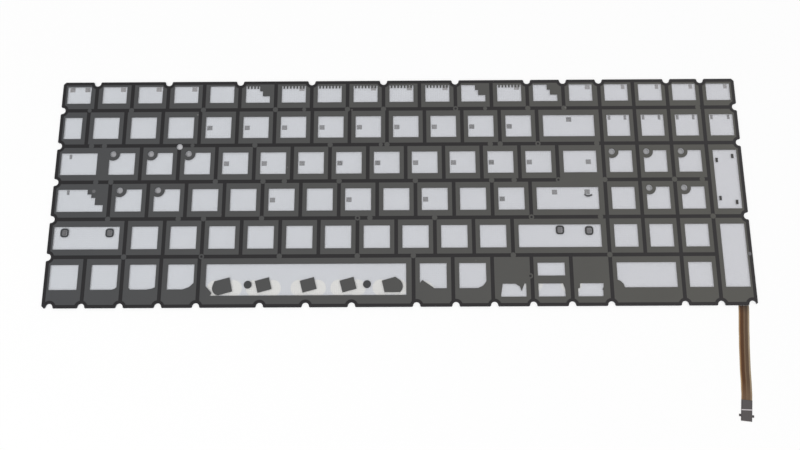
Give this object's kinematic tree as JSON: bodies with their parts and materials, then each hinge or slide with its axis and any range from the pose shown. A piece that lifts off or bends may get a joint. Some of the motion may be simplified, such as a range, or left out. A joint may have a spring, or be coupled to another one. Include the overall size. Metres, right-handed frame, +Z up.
{
  "type": "laptop keyboard backlight panel",
  "caption": "Thin edge-lit backlight panel for a laptop keyboard with a number pad: dark mask with a window for each key, notched edges and a flat flex tail.",
  "frame": {"origin": "middle of the panel without its tail, on the surface that the panel lies on", "axes": "+X to the right along the key rows, towards the number pad; +Y from the space bar to the function row; +Z up, out of the side that faces the keys"},
  "size_m": [0.3386, 0.1678, 0.0009],
  "materials": {
    "bond_glue": "satin",
    "ink": "satin",
    "clear_film": "clear gloss",
    "clear_glue": "clear",
    "pad_glue": "satin",
    "light_guide": "clear gloss",
    "reflector": "satin white",
    "tape": "satin",
    "cover_film": "satin white",
    "copper": "plain copper",
    "base_film": "amber gloss",
    "solder": "bright",
    "lamp_case": "white",
    "phosphor": "yellow",
    "tail_film": "brown gloss",
    "contact_plating": "gold plated",
    "stiffener": "satin"
  },
  "bodies": {
    "root": {"bond_grid": "bond_glue", "mask_print": "ink", "ink_marks": "ink", "shift_rings": "ink", "mask_film": "clear_film", "mask_glue": "clear_glue", "light_guide": "light_guide", "guide_glue": "clear_glue", "guide_pads": "pad_glue", "reflector_sheet": "reflector", "flex_tape": "tape", "flex_cover": "cover_film", "flex_copper": "copper", "flex_base": "base_film", "lamp_solder": "solder", "lamp_shade_1": "ink", "lamp_shade_2": "ink", "lamp_shade_3": "ink", "lamp_shade_4": "ink", "lamp_shade_5": "ink", "lamp_case_1": "lamp_case", "lamp_case_2": "lamp_case", "lamp_case_3": "lamp_case", "lamp_case_4": "lamp_case", "lamp_case_5": "lamp_case", "lamp_lens_1": "phosphor", "lamp_lens_2": "phosphor", "lamp_lens_3": "phosphor", "lamp_lens_4": "phosphor", "lamp_lens_5": "phosphor", "tail_ribbon": "tail_film", "tail_tongue": "tail_film", "tail_contacts": "contact_plating", "tail_stiffener": "stiffener"}
  },
  "joints": []
}
